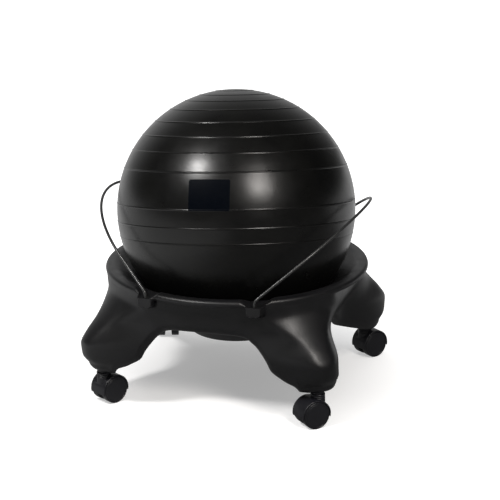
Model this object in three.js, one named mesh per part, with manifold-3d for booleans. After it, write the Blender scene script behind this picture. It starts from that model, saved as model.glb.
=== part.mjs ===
// Balance ball chair: an inflated ball in a moulded four-legged base on twin-wheel casters,
// with a sprung wire hoop on each side that keeps the ball in place.
// Millimetres, +Z up, origin on the floor under the middle, front of the chair towards -Y.
import * as THREE from 'three';
import { mergeVertices } from 'three/addons/utils/BufferGeometryUtils.js';
import Module from 'manifold-3d';

const wasm = await Module();
wasm.setup();

// Clearances and shared small values
const TOUCH_GAP = 0.3;
const RUNNING_GAP = 0.6;
const CUT_OVERRUN = 10;

// Ball
const BALL_RADIUS = 250;
const BALL_FLOOR_CLEARANCE = 5;
const BALL_WALL = 1.6;
const BALL_TILT_DEG = 11.6;
const BALL_TILT_AZIMUTH_DEG = 108.3;
const BALL_FACETS = 36;
const BALL_INNER_FACETS = 24;

// Valve plug, pressed into the ball at its lower pole
const PLUG_STEM_RADIUS = 4.5;
const PLUG_STEM_LENGTH = 18;
const PLUG_FLANGE_RADIUS = 10;
const PLUG_FLANGE_THICKNESS = 1.8;

// Base: rim, bowl and drain hole
const RIM_OVERHANG = 27;
const RIM_HEIGHT = 267.5;
const RIM_LIP_THICKNESS = 14;
const RIM_WIDTH = 29;
const RIM_ROUND = 4;
const BOWL_WALL = 4;
const BOWL_FLOOR_HEIGHT = 125;
const BOWL_SEAT_SLOPE_DEG = 45;
const BOWL_FLARE_DROP = 31;
const RIM_FACETS = 60;
const DRAIN_HOLE_RADIUS = 74;

// Base: side panels, legs and feet
const SHELL_WALL = 4;
const PANEL_SETBACK = 32;
const PANEL_FLARE = 18;
const FLARE_START_SHARE = 0.3;
const FLARE_END_SHARE = 0.67;
const NOSE_BLEND_SHARE = 0.9;
const LEG_OVERHANG = 85;
const FOOT_NOSE_RADIUS = 36;
const FOOT_HEIGHT = 74;
const EDGE_ROUND = 16;
const EDGE_LIP_DEG = 80;
const ARCH_HEIGHT = 180;
const ARCH_HALF_WIDTH = 70;
const ARCH_FOOT_INSET = 33;
const SIDE_ARCH_HEIGHT = 150;
const SIDE_ARCH_HALF_WIDTH = 10;
const SIDE_RECESS = 35;
const RECESS_START_SHARE = 0.15;
const RECESS_END_SHARE = 0.55;
const SHELL_JOIN = 8;
const FOOT_INSET = 60;

// Leg nose: share of the drop from lip to foot, against share of the reach beyond the rim
const LEG_REACH_SHARES = [
  [0, 0], [0.1, 0.045], [0.235, 0.234], [0.374, 0.506], [0.514, 0.792],
  [0.67, 1], [0.793, 0.987], [0.894, 0.87], [1, 0.66],
];
// Leg nose: share of the same drop, against share between foot and rim radius
const NOSE_RADIUS_SHARES = [
  [0, 1], [0.15, 0.473], [0.318, 0.224], [0.486, 0.1], [0.67, 0.033], [0.85, 0.008], [1, 0],
];
// Arch edge: share from the arch's flat top out to the foot, against share of its drop
const ARCH_SHARES = [
  [0, 0], [0.106, 0.02], [0.176, 0.055], [0.246, 0.118], [0.317, 0.19], [0.4, 0.318],
  [0.465, 0.445], [0.542, 0.636], [0.606, 0.7], [0.669, 0.745], [0.775, 0.818],
  [0.915, 0.89], [1, 1],
];
// The same for the lower arches under the left and right sides
const SIDE_ARCH_SHARES = [
  [0, 0], [0.1, 0.09], [0.34, 0.38], [0.53, 0.57], [0.67, 0.72], [0.85, 0.9], [1, 1],
];
// Share of an eighth of the way round at which the shell has its columns
const COLUMN_SHARES = [0, 0.16, 0.36, 0.45, 0.53, 0.6, 0.66, 0.72, 0.79, 0.86, 0.93];
const SHELL_ROWS = 7;
const INNER_ROWS = 5;
const ROUND_STEPS = 3;
const INNER_ROUND_STEPS = 2;
const LIP_STEPS = 5;

// Caster sockets and ribs inside the legs
const CASTER_SIDE_INSET = 47;
const CASTER_FRONT_INSET = 74;
const SOCKET_BORE_DEPTH = 36;
const SOCKET_RADIUS = 9;
const SOCKET_FLANGE_RADIUS = 13;
const SOCKET_FLANGE_THICKNESS = 1.7;
const BOSS_RADIUS = 15;
const BOSS_CAP = 4;
const FOOT_PAD_RADIUS = 26;
const FOOT_PAD_THICKNESS = 6;
const RIB_THICKNESS = 4;

// Wire hoops, their bosses and rim notches
const WIRE_RADIUS = 3;
const WIRE_END_X = 114;
const WIRE_END_INSET = 21;
const WIRE_KNEE_RISE = 11.5;
const WIRE_TILT_DEG = 40;
const WIRE_TOP_CLEARANCE = 30.2;
const WIRE_SIDE_TAPER = 18;
const WIRE_BEND = 8;
const WIRE_STUB = 32;
const WIRE_SIDES = 8;
const WIRE_BEND_STEPS = 4;
const WIRE_ARC_STEPS = 24;
const NOTCH_WIDTH = 54;
const NOTCH_DEPTH = 10;
const NOTCH_ROUND = 7;
const WIRE_BOSS_WIDTH = 38;
const WIRE_BOSS_HEIGHT = 25;
const WIRE_BOSS_ROUND = 12;
const WIRE_BOSS_PROUD = 8;
const NOTCH_REACH = 20;

// Casters
const WHEEL_RADIUS = 28.5;
const WHEEL_WIDTH = 16;
const WHEEL_EDGE = 2;
const WHEEL_SKIN = 2;
const CASTER_TRAIL = 14;
const WEB_THICKNESS = 14;
const FENDER_WALL = 3;
const FENDER_GAP = 1.4;
const FENDER_HALF_WIDTH = 23;
const FENDER_LIP_DEG = 10;
const NECK_RADIUS = 15;
const NECK_SKIRT_RADIUS = 12;
const AXLE_RADIUS = 3;
const STEM_RADIUS = 5.5;
const STEM_LENGTH = 32;
const STEM_COLLAR_RADIUS = 9;
const STEM_COLLAR_THICKNESS = 4.8;
const STEM_TAIL_RADIUS = 4.8;
const STEM_TAIL_LENGTH = 15;
const STEM_CHAMFER = 1.5;
const FENDER_STEPS = 8;
const ROUND_FACETS = 24;
const SMALL_FACETS = 12;

const CASTERS = [
  { tag: 'front_right', x: 1, y: -1, swivelDeg: -136 },
  { tag: 'front_left', x: -1, y: -1, swivelDeg: 58 },
  { tag: 'rear_right', x: 1, y: 1, swivelDeg: 52 },
  { tag: 'rear_left', x: -1, y: 1, swivelDeg: 107 },
];

// Derived places
const rad = THREE.MathUtils.degToRad;
const EIGHTH = Math.PI / 4;
const ballCentre = BOWL_FLOOR_HEIGHT + BALL_FLOOR_CLEARANCE + BALL_RADIUS;
const rimRadius = BALL_RADIUS + RIM_OVERHANG;
const rimInnerRadius = rimRadius - RIM_WIDTH;
const lipUnderside = RIM_HEIGHT - RIM_LIP_THICKNESS;
const legDrop = lipUnderside - FOOT_HEIGHT;
const legReach = rimRadius + LEG_OVERHANG;
const panelReach = rimRadius - PANEL_SETBACK;
const archFootHalfWidth = panelReach - ARCH_FOOT_INSET;
const notchFloor = RIM_HEIGHT - NOTCH_DEPTH;
const wireEndY = rimRadius - WIRE_END_INSET;
const wireEndZ = notchFloor + WIRE_KNEE_RISE;
const wireArcRadius = wireEndY - WIRE_SIDE_TAPER;
const wireTilt = rad(WIRE_TILT_DEG);
const wireRise = (BALL_RADIUS + WIRE_TOP_CLEARANCE - WIRE_END_X) / Math.cos(wireTilt);
const seatSlope = rad(BOWL_SEAT_SLOPE_DEG);
const casterReach = rimRadius - CASTER_SIDE_INSET;
const casterDepthReach = rimRadius - CASTER_FRONT_INSET;

// Solid helpers
function toSolid(geometry) {
  const bare = geometry.index ? geometry : geometry.clone();
  bare.deleteAttribute('normal');
  bare.deleteAttribute('uv');
  const merged = mergeVertices(bare, 1e-4);
  return new wasm.Manifold(new wasm.Mesh({
    numProp: 3,
    vertProperties: new Float32Array(merged.attributes.position.array),
    triVerts: new Uint32Array(merged.index.array),
  }));
}

function toGeometry(solid) {
  const mesh = solid.getMesh();
  const geometry = new THREE.BufferGeometry();
  geometry.setAttribute('position', new THREE.BufferAttribute(mesh.vertProperties, 3));
  geometry.setIndex(new THREE.BufferAttribute(mesh.triVerts, 1));
  return geometry;
}

function lathe(points, segments) {
  const profile = points.map(([r, z]) => new THREE.Vector2(r, z));
  return new THREE.LatheGeometry(profile, segments).rotateX(Math.PI / 2);
}

function place(geometry, x, y, z) {
  return geometry.translate(x, y, z);
}

function cylinder(radius, bottom, top, facets = SMALL_FACETS) {
  const geometry = new THREE.CylinderGeometry(radius, radius, top - bottom, facets);
  return geometry.rotateX(Math.PI / 2).translate(0, 0, (top + bottom) / 2);
}

// A shape drawn in X and Z, made thick along Y from y0 to y1
function slab(shape, y0, y1) {
  const geometry = new THREE.ExtrudeGeometry(shape, {
    depth: y1 - y0, bevelEnabled: false, curveSegments: 4,
  });
  return geometry.rotateX(Math.PI / 2).translate(0, y1, 0);
}

// A round-bottomed U: flat top, given width and depth, drawn down from `top`
function cupShape(width, top, bottom, round) {
  const half = width / 2;
  const shape = new THREE.Shape();
  shape.moveTo(-half, top);
  shape.lineTo(-half, bottom + round);
  shape.absarc(-half + round, bottom + round, round, Math.PI, Math.PI * 1.5, false);
  shape.lineTo(half - round, bottom);
  shape.absarc(half - round, bottom + round, round, Math.PI * 1.5, Math.PI * 2, false);
  shape.lineTo(half, top);
  shape.closePath();
  return shape;
}

// Value of a share table at t, with a smooth monotone curve through its rows
function follow(shares, t) {
  const last = shares.length - 1;
  const at = THREE.MathUtils.clamp(t, shares[0][0], shares[last][0]);
  let i = 0;
  while (i < last - 1 && at > shares[i + 1][0]) i += 1;
  const slope = (k) => (shares[k + 1][1] - shares[k][1]) / (shares[k + 1][0] - shares[k][0]);
  const bend = (k) => {
    if (k === 0 || k === last) return slope(Math.min(k, last - 1));
    const before = slope(k - 1);
    const after = slope(k);
    return before * after <= 0 ? 0 : (2 * before * after) / (before + after);
  };
  const [x0, y0] = shares[i];
  const [x1, y1] = shares[i + 1];
  const step = x1 - x0;
  const u = (at - x0) / step;
  const near = (1 + 2 * u) * (1 - u) ** 2 * y0 + u * (1 - u) ** 2 * step * bend(i);
  const far = u * u * (3 - 2 * u) * y1 + u * u * (u - 1) * step * bend(i + 1);
  return near + far;
}

// Shell surface. `turn` is the angle from a panel's middle, up to an eighth of the way round;
// `beside` is true on the left and right panels, which lean in and come down lower.
function noseCircle(z) {
  const drop = THREE.MathUtils.clamp((lipUnderside - z) / legDrop, 0, 1);
  const tip = rimRadius + (legReach - rimRadius) * follow(LEG_REACH_SHARES, drop);
  const spread = rimRadius - FOOT_NOSE_RADIUS;
  const radius = FOOT_NOSE_RADIUS + spread * follow(NOSE_RADIUS_SHARES, drop);
  return { centre: tip - radius, radius };
}

function panelHalf(turn, z, beside) {
  const { centre, radius } = noseCircle(z);
  const drop = (lipUnderside - z) / legDrop;
  const flare = PANEL_FLARE * THREE.MathUtils.smoothstep(drop, FLARE_START_SHARE, FLARE_END_SHARE);
  const atNose = Math.min(centre * Math.SQRT1_2 + radius, panelReach + flare);
  const archTurn = Math.atan2(ARCH_HALF_WIDTH, panelReach);
  const blend = THREE.MathUtils.smoothstep(turn, archTurn, EIGHTH * NOSE_BLEND_SHARE);
  const lean = THREE.MathUtils.smoothstep(drop, RECESS_START_SHARE, RECESS_END_SHARE);
  return THREE.MathUtils.lerp(panelReach - (beside ? SIDE_RECESS * lean : 0), atNose, blend);
}

function shellRadius(turn, z, beside) {
  const { centre, radius } = noseCircle(z);
  const panel = panelHalf(turn, z, beside) / Math.cos(turn);
  const side = centre * Math.SQRT1_2;
  const lowest = Math.atan2(side, side + radius);
  if (turn < lowest) return panel;
  const off = centre * Math.sin(EIGHTH - turn);
  const nose = centre * Math.cos(EIGHTH - turn) + Math.sqrt(radius * radius - off * off);
  return Math.min(panel, nose);
}

function edgeHeight(turn, beside) {
  const top = beside ? SIDE_ARCH_HEIGHT : ARCH_HEIGHT;
  const half = beside ? SIDE_ARCH_HALF_WIDTH : ARCH_HALF_WIDTH;
  const shares = beside ? SIDE_ARCH_SHARES : ARCH_SHARES;
  const archTurn = Math.atan2(half, panelReach);
  const footTurn = Math.atan2(archFootHalfWidth, panelReach + PANEL_FLARE);
  const flare = PANEL_FLARE * THREE.MathUtils.smoothstep(turn, archTurn, footTurn);
  const across = (panelReach + flare) * Math.tan(turn);
  const along = (across - half) / (archFootHalfWidth - half);
  return top - (top - FOOT_HEIGHT) * follow(shares, along);
}

// The legs stand closer together front to back than side to side: draws a body in toward its feet
function drawIn(geometry) {
  const points = geometry.getAttribute('position');
  for (let i = 0; i < points.count; i += 1) {
    const drop = THREE.MathUtils.clamp((lipUnderside - points.getZ(i)) / legDrop, 0, 1);
    points.setY(i, points.getY(i) * THREE.MathUtils.lerp(1, casterDepthReach / casterReach, drop));
  }
  return geometry;
}

// One column of the shell's outside, from inside the rim down, round the edge and inward
function outerColumn(turn, beside) {
  const edge = edgeHeight(turn, beside);
  const top = RIM_HEIGHT - SHELL_JOIN;
  const bottom = edge + EDGE_ROUND;
  const column = [];
  for (let row = 0; row <= SHELL_ROWS; row += 1) {
    const z = THREE.MathUtils.lerp(top, bottom, row / SHELL_ROWS);
    column.push([shellRadius(turn, z, beside), z]);
  }
  const out = shellRadius(turn, bottom, beside) - EDGE_ROUND;
  for (let step = 1; step <= ROUND_STEPS; step += 1) {
    const a = (step / ROUND_STEPS) * (Math.PI / 2);
    column.push([out + EDGE_ROUND * Math.cos(a), bottom - EDGE_ROUND * Math.sin(a)]);
  }
  column.push([out - FOOT_INSET, edge]);
  return column;
}

// The same column one wall further in, carried on past the edge to cut the shell open
function innerColumn(turn, beside) {
  const edge = edgeHeight(turn, beside);
  const top = lipUnderside - SHELL_WALL;
  const bottom = edge + EDGE_ROUND;
  const column = [];
  for (let row = 0; row <= INNER_ROWS; row += 1) {
    const z = THREE.MathUtils.lerp(top, bottom, row / INNER_ROWS);
    column.push([shellRadius(turn, z, beside) - SHELL_WALL, z]);
  }
  const out = shellRadius(turn, bottom, beside) - EDGE_ROUND;
  const round = EDGE_ROUND - SHELL_WALL;
  for (let step = 1; step <= INNER_ROUND_STEPS; step += 1) {
    const a = (step / INNER_ROUND_STEPS) * rad(EDGE_LIP_DEG);
    column.push([out + round * Math.cos(a), bottom - round * Math.sin(a)]);
  }
  column.push([column[column.length - 1][0], FOOT_HEIGHT - CUT_OVERRUN]);
  return column;
}

// A closed body from columns all the way round, capped to the axis at both ends
function columnSolid(columnAt) {
  const shares = [-1];
  for (let i = COLUMN_SHARES.length - 1; i > 0; i -= 1) shares.push(-COLUMN_SHARES[i]);
  shares.push(...COLUMN_SHARES);
  const columns = [];
  for (let side = 0; side < 4; side += 1) {
    for (const share of shares) {
      const turn = share * EIGHTH;
      const heading = (side - 1) * 2 * EIGHTH + turn;
      const column = columnAt(Math.abs(turn), side % 2 === 1);
      columns.push(column.map(([r, z]) => [r * Math.cos(heading), r * Math.sin(heading), z]));
    }
  }
  const rows = columns[0].length;
  const points = columns.flat();
  const topZ = columns[0][0][2];
  const bottomZ = columns[0][rows - 1][2];
  const topPoint = points.push([0, 0, topZ]) - 1;
  const bottomPoint = points.push([0, 0, bottomZ]) - 1;
  const faces = [];
  columns.forEach((column, i) => {
    const here = i * rows;
    const next = ((i + 1) % columns.length) * rows;
    faces.push(topPoint, here, next);
    faces.push(bottomPoint, next + rows - 1, here + rows - 1);
    for (let j = 0; j < rows - 1; j += 1) {
      faces.push(here + j, here + j + 1, next + j + 1);
      faces.push(here + j, next + j + 1, next + j);
    }
  });
  const geometry = new THREE.BufferGeometry();
  geometry.setAttribute('position', new THREE.Float32BufferAttribute(points.flat(), 3));
  geometry.setIndex(faces);
  return toSolid(drawIn(geometry));
}

// Bowl wall: radius of its upper face at a height, moved out by `offset` square to the cone
function coneRadius(z, offset) {
  const reach = BALL_RADIUS + TOUCH_GAP + TOUCH_GAP;
  const seatZ = ballCentre - reach * Math.cos(seatSlope);
  return reach * Math.sin(seatSlope) + (z - seatZ) / Math.tan(seatSlope) + offset / Math.sin(seatSlope);
}

const flareBottom = RIM_HEIGHT - BOWL_FLARE_DROP;
const flareTop = RIM_HEIGHT - RIM_ROUND;
const flareRun = rimInnerRadius - coneRadius(flareBottom, 0);
const flareRise = flareTop - flareBottom;
const flareLength = Math.hypot(flareRun, flareRise);

// Radius of the bowl's flared upper part at a height, moved out by `offset` square to it
function flareRadius(z, offset) {
  const base = coneRadius(flareBottom, 0) + (z - flareBottom) * (flareRun / flareRise);
  return base + offset * (flareLength / flareRise);
}

// Height at which the cone and the flare meet once both are moved out by `offset`
function flareMeets(offset) {
  const gap = flareRadius(flareBottom, offset) - coneRadius(flareBottom, offset);
  return flareBottom - gap / (flareRun / flareRise - 1 / Math.tan(seatSlope));
}

function bowlAndRim() {
  const lipRound = RIM_LIP_THICKNESS / 2;
  const floorBottom = BOWL_FLOOR_HEIGHT - BOWL_WALL;
  const meet = flareMeets(BOWL_WALL);
  const profile = [
    [DRAIN_HOLE_RADIUS, floorBottom],
    [coneRadius(floorBottom, BOWL_WALL), floorBottom],
    [coneRadius(meet, BOWL_WALL), meet],
    [flareRadius(lipUnderside, BOWL_WALL), lipUnderside],
  ];
  for (let step = 0; step <= LIP_STEPS; step += 1) {
    const a = Math.PI * (step / LIP_STEPS - 0.5);
    profile.push([
      rimRadius - lipRound + lipRound * Math.cos(a),
      RIM_HEIGHT - lipRound + lipRound * Math.sin(a),
    ]);
  }
  const cornerRun = RIM_ROUND * (flareLength + flareRun) / flareRise;
  profile.push([rimInnerRadius + cornerRun, RIM_HEIGHT]);
  profile.push([rimInnerRadius + RIM_ROUND / 2, RIM_HEIGHT - RIM_ROUND / 4]);
  profile.push([rimInnerRadius, flareTop]);
  profile.push([coneRadius(flareBottom, 0), flareBottom]);
  profile.push([coneRadius(BOWL_FLOOR_HEIGHT, 0), BOWL_FLOOR_HEIGHT]);
  profile.push([DRAIN_HOLE_RADIUS, BOWL_FLOOR_HEIGHT]);
  profile.push(profile[0]);
  return toSolid(lathe(profile, RIM_FACETS));
}

// Everything above the middle of the bowl wall, to open the shell's top plate
function bowlCutter() {
  const middle = BOWL_WALL / 2;
  const top = RIM_HEIGHT + CUT_OVERRUN;
  const meet = flareMeets(middle);
  const low = flareBottom - BOWL_FLARE_DROP;
  return toSolid(lathe([
    [0, low],
    [coneRadius(low, middle), low],
    [coneRadius(meet, middle), meet],
    [flareRadius(top, middle), top],
    [0, top],
  ], RIM_FACETS));
}

// Stiffening rib along a leg's diagonal, between the bowl, the nose and the foot
function legRib() {
  const half = SHELL_WALL / 2;
  const inTop = coneRadius(ARCH_HEIGHT + BOWL_FLARE_DROP, BOWL_WALL / 2);
  const shape = new THREE.Shape();
  shape.moveTo(inTop, ARCH_HEIGHT + BOWL_FLARE_DROP);
  shape.lineTo(flareRadius(lipUnderside, BOWL_WALL / 2), lipUnderside + half);
  for (let row = 0; row <= SHELL_ROWS; row += 1) {
    const z = THREE.MathUtils.lerp(lipUnderside, FOOT_HEIGHT + EDGE_ROUND, row / SHELL_ROWS);
    shape.lineTo(shellRadius(EIGHTH, z, false) - half, z);
  }
  const socketReach = casterReach * Math.SQRT2;
  shape.lineTo(socketReach, FOOT_HEIGHT + half);
  shape.lineTo(socketReach - BOSS_RADIUS, FOOT_HEIGHT + half);
  shape.lineTo(socketReach - BOSS_RADIUS - FOOT_PAD_THICKNESS, FOOT_HEIGHT + SOCKET_BORE_DEPTH);
  shape.lineTo(inTop, ARCH_HEIGHT);
  shape.closePath();
  return slab(shape, -RIB_THICKNESS / 2, RIB_THICKNESS / 2);
}

function baseShell() {
  const outside = columnSolid(outerColumn);
  const ribsAndBosses = [];
  const cuts = [];
  const bossTop = FOOT_HEIGHT + SOCKET_BORE_DEPTH + BOSS_CAP;
  for (const { x, y } of CASTERS) {
    const px = x * casterReach;
    const py = y * casterDepthReach;
    ribsAndBosses.push(toSolid(drawIn(legRib().rotateZ(Math.atan2(y, x)))));
    ribsAndBosses.push(toSolid(place(cylinder(BOSS_RADIUS, FOOT_HEIGHT, bossTop), px, py, 0)));
    const padTop = FOOT_HEIGHT + FOOT_PAD_THICKNESS;
    ribsAndBosses.push(toSolid(place(cylinder(FOOT_PAD_RADIUS, FOOT_HEIGHT, padTop), px, py, 0)));
    const bore = cylinder(SOCKET_RADIUS + TOUCH_GAP, FOOT_HEIGHT - CUT_OVERRUN, bossTop - BOSS_CAP);
    cuts.push(toSolid(place(bore, px, py, 0)));
    const recess = cylinder(SOCKET_FLANGE_RADIUS + TOUCH_GAP, FOOT_HEIGHT - CUT_OVERRUN,
      FOOT_HEIGHT + SOCKET_FLANGE_THICKNESS + TOUCH_GAP);
    cuts.push(toSolid(place(recess, px, py, 0)));
  }
  const filled = ribsAndBosses.reduce((all, one) => all.add(one)).intersect(outside);
  let base = outside.subtract(columnSolid(innerColumn)).subtract(bowlCutter());
  base = base.add(bowlAndRim()).add(filled);
  const bossBottom = notchFloor - WIRE_BOSS_HEIGHT;
  for (const side of [-1, 1]) {
    for (const end of [-1, 1]) {
      const turn = end < 0 ? 0 : Math.PI;
      const put = (shape, y0, y1) => toSolid(
        place(slab(shape, y0, y1), side * WIRE_END_X, 0, 0).rotateZ(turn));
      const front = -(wireEndY + WIRE_BOSS_PROUD);
      const bossShape = cupShape(WIRE_BOSS_WIDTH, notchFloor, bossBottom, WIRE_BOSS_ROUND);
      base = base.add(put(bossShape, front, SHELL_WALL / 2 - panelReach));
      const notch = cupShape(NOTCH_WIDTH, RIM_HEIGHT + CUT_OVERRUN, notchFloor, NOTCH_ROUND);
      cuts.push(put(notch, -rimRadius - CUT_OVERRUN, NOTCH_REACH - wireEndY));
      const bore = cylinder(WIRE_RADIUS + TOUCH_GAP, bossBottom - CUT_OVERRUN, RIM_HEIGHT);
      cuts.push(toSolid(place(bore, side * WIRE_END_X, end * wireEndY, 0)));
    }
  }
  return toGeometry(base.subtract(cuts.reduce((all, one) => all.add(one))));
}

// Ball and plug are built about their own pole, then tilted together
function ballShell() {
  const sphere = (radius, facets) => toSolid(
    new THREE.SphereGeometry(radius, facets, facets / 2).rotateX(Math.PI / 2));
  const hole = cylinder(PLUG_STEM_RADIUS + TOUCH_GAP, -BALL_RADIUS - CUT_OVERRUN, -BALL_RADIUS / 2);
  const wall = sphere(BALL_RADIUS, BALL_FACETS)
    .subtract(sphere(BALL_RADIUS - BALL_WALL, BALL_INNER_FACETS));
  return toGeometry(wall.subtract(toSolid(hole)));
}

function valvePlug() {
  const seat = -BALL_RADIUS - TOUCH_GAP;
  const tip = seat + PLUG_STEM_LENGTH;
  const back = seat - PLUG_FLANGE_THICKNESS;
  return lathe([
    [0, back], [PLUG_FLANGE_RADIUS, back], [PLUG_FLANGE_RADIUS, seat],
    [PLUG_STEM_RADIUS, seat], [PLUG_STEM_RADIUS, tip - PLUG_FLANGE_THICKNESS],
    [PLUG_STEM_RADIUS - PLUG_FLANGE_THICKNESS, tip], [0, tip],
  ], SMALL_FACETS);
}

// The wire's middle line: stub, bend, straight arm, round top, and the same again behind
class HoopRoute extends THREE.Curve {
  constructor(side) {
    super();
    const at = (u, v) => new THREE.Vector3(
      side * (WIRE_END_X + v * Math.cos(wireTilt)), u, wireEndZ + v * Math.sin(wireTilt));
    const centreV = wireRise - wireArcRadius;
    const spread = Math.hypot(wireEndY, centreV);
    const start = Math.atan2(-centreV, wireEndY) + Math.acos(wireArcRadius / spread);
    const arc = (t) => {
      const a = THREE.MathUtils.lerp(start, Math.PI - start, t);
      return at(-wireArcRadius * Math.cos(a), centreV + wireArcRadius * Math.sin(a));
    };
    const half = (end) => {
      const corner = at(end * wireEndY, 0);
      const touch = arc(end < 0 ? 0 : 1);
      const below = corner.clone().setZ(wireEndZ - WIRE_BEND);
      const along = touch.clone().sub(corner).setLength(WIRE_BEND).add(corner);
      return [
        new THREE.LineCurve3(below.clone().setZ(wireEndZ - WIRE_STUB), below),
        new THREE.QuadraticBezierCurve3(below, corner, along),
        new THREE.LineCurve3(along, touch),
      ];
    };
    const back = half(1).reverse();
    this.pieces = [
      ...half(-1).map((curve) => (t) => curve.getPoint(t)),
      arc,
      ...back.map((curve) => (t) => curve.getPoint(1 - t)),
    ];
    this.steps = [1, WIRE_BEND_STEPS, 2, WIRE_ARC_STEPS, 2, WIRE_BEND_STEPS, 1];
    this.total = this.steps.reduce((sum, n) => sum + n, 0);
  }

  getPoint(t) {
    let left = t * this.total;
    let i = 0;
    while (i < this.pieces.length - 1 && left > this.steps[i]) {
      left -= this.steps[i];
      i += 1;
    }
    return this.pieces[i](left / this.steps[i]);
  }

  getPointAt(u) {
    return this.getPoint(u);
  }

  getTangentAt(u) {
    return this.getTangent(u);
  }
}

function wireHoop(side) {
  const route = new HoopRoute(side);
  const section = new THREE.Shape();
  for (let i = 0; i < WIRE_SIDES; i += 1) {
    const a = (i / WIRE_SIDES) * Math.PI * 2;
    const point = [WIRE_RADIUS * Math.cos(a), WIRE_RADIUS * Math.sin(a)];
    if (i === 0) section.moveTo(...point);
    else section.lineTo(...point);
  }
  section.closePath();
  return new THREE.ExtrudeGeometry(section, { steps: route.total, extrudePath: route });
}

// Casters, each about its own swivel axis with the wheels trailing along +X
const collarTop = FOOT_HEIGHT - RUNNING_GAP;
const collarBottom = collarTop - STEM_COLLAR_THICKNESS;
const neckTop = collarBottom - RUNNING_GAP;
const wheelInner = WEB_THICKNESS / 2 + RUNNING_GAP;
const axleHalf = wheelInner + WHEEL_WIDTH - WHEEL_SKIN - RUNNING_GAP;

function casterHood() {
  const inner = WHEEL_RADIUS + FENDER_GAP;
  const outer = inner + FENDER_WALL;
  const lip = rad(FENDER_LIP_DEG);
  const onWheel = (geometry) => toSolid(place(geometry, CASTER_TRAIL, 0, WHEEL_RADIUS));
  const fender = new THREE.Shape();
  fender.absarc(0, 0, outer, -lip, Math.PI + lip, false);
  fender.absarc(0, 0, inner, Math.PI + lip, -lip, true);
  fender.closePath();
  const fenderSolid = onWheel(new THREE.ExtrudeGeometry(fender, {
    depth: 2 * FENDER_HALF_WIDTH, bevelEnabled: false, curveSegments: FENDER_STEPS,
  }).rotateX(Math.PI / 2).translate(0, FENDER_HALF_WIDTH, 0));
  const web = new THREE.Shape();
  const webRadius = inner + FENDER_WALL / 2;
  const hub = AXLE_RADIUS * 2;
  web.absarc(0, 0, webRadius, 0, Math.PI, false);
  web.lineTo(-hub, -hub);
  web.lineTo(hub, -hub);
  web.closePath();
  const webSolid = onWheel(new THREE.ExtrudeGeometry(web, {
    depth: WEB_THICKNESS, bevelEnabled: false, curveSegments: FENDER_STEPS,
  }).rotateX(Math.PI / 2).translate(0, WEB_THICKNESS / 2, 0));
  const wheelSpace = (side) => onWheel(new THREE.CylinderGeometry(
    webRadius, webRadius, FENDER_HALF_WIDTH, ROUND_FACETS,
  ).translate(0, side * (FENDER_HALF_WIDTH + WEB_THICKNESS) / 2, 0));
  const neck = toSolid(cylinder(NECK_RADIUS, 2 * WHEEL_RADIUS - NECK_RADIUS, neckTop, ROUND_FACETS))
    .subtract(wheelSpace(1)).subtract(wheelSpace(-1));
  const skirt = toSolid(cylinder(NECK_SKIRT_RADIUS, collarBottom - STEM_COLLAR_THICKNESS, collarTop,
    ROUND_FACETS));
  const collarRoom = cylinder(STEM_COLLAR_RADIUS + RUNNING_GAP, neckTop, collarTop + CUT_OVERRUN,
    ROUND_FACETS);
  const tailBore = cylinder(STEM_TAIL_RADIUS + TOUCH_GAP,
    collarBottom - STEM_TAIL_LENGTH - RUNNING_GAP, neckTop + CUT_OVERRUN);
  const axleBore = onWheel(new THREE.CylinderGeometry(
    AXLE_RADIUS + TOUCH_GAP, AXLE_RADIUS + TOUCH_GAP, 2 * WEB_THICKNESS, SMALL_FACETS));
  return toGeometry(fenderSolid.add(webSolid).add(neck).add(skirt)
    .subtract(toSolid(collarRoom)).subtract(toSolid(tailBore)).subtract(axleBore));
}

function casterWheel(side) {
  const width = WHEEL_WIDTH;
  const bore = AXLE_RADIUS + TOUCH_GAP;
  const profile = [
    [0, width - WHEEL_SKIN], [bore, width - WHEEL_SKIN], [bore, 0],
    [WHEEL_RADIUS - WHEEL_EDGE, 0], [WHEEL_RADIUS, WHEEL_EDGE],
    [WHEEL_RADIUS, width - WHEEL_EDGE], [WHEEL_RADIUS - WHEEL_EDGE, width], [0, width],
  ];
  const points = profile.map(([r, h]) => new THREE.Vector2(r, h));
  const geometry = new THREE.LatheGeometry(points, ROUND_FACETS).translate(0, wheelInner, 0);
  if (side < 0) geometry.rotateZ(Math.PI);
  return place(geometry, CASTER_TRAIL, 0, WHEEL_RADIUS);
}

function casterAxle() {
  const geometry = new THREE.CylinderGeometry(AXLE_RADIUS, AXLE_RADIUS, 2 * axleHalf, SMALL_FACETS);
  return place(geometry, CASTER_TRAIL, 0, WHEEL_RADIUS);
}

function casterStem() {
  const tail = collarBottom - STEM_TAIL_LENGTH;
  const top = collarTop + STEM_LENGTH;
  return lathe([
    [0, tail], [STEM_TAIL_RADIUS, tail], [STEM_TAIL_RADIUS, collarBottom],
    [STEM_COLLAR_RADIUS, collarBottom], [STEM_COLLAR_RADIUS, collarTop],
    [STEM_RADIUS, collarTop], [STEM_RADIUS, top - STEM_CHAMFER],
    [STEM_RADIUS - STEM_CHAMFER, top], [0, top],
  ], SMALL_FACETS);
}

function casterSocket() {
  const flangeBottom = FOOT_HEIGHT;
  const flangeTop = flangeBottom + SOCKET_FLANGE_THICKNESS;
  const top = FOOT_HEIGHT + SOCKET_BORE_DEPTH - TOUCH_GAP;
  const bore = STEM_RADIUS + TOUCH_GAP;
  return lathe([
    [bore, flangeBottom], [SOCKET_FLANGE_RADIUS, flangeBottom], [SOCKET_FLANGE_RADIUS, flangeTop],
    [SOCKET_RADIUS, flangeTop], [SOCKET_RADIUS, top], [bore, top], [bore, flangeBottom],
  ], SMALL_FACETS);
}

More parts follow.
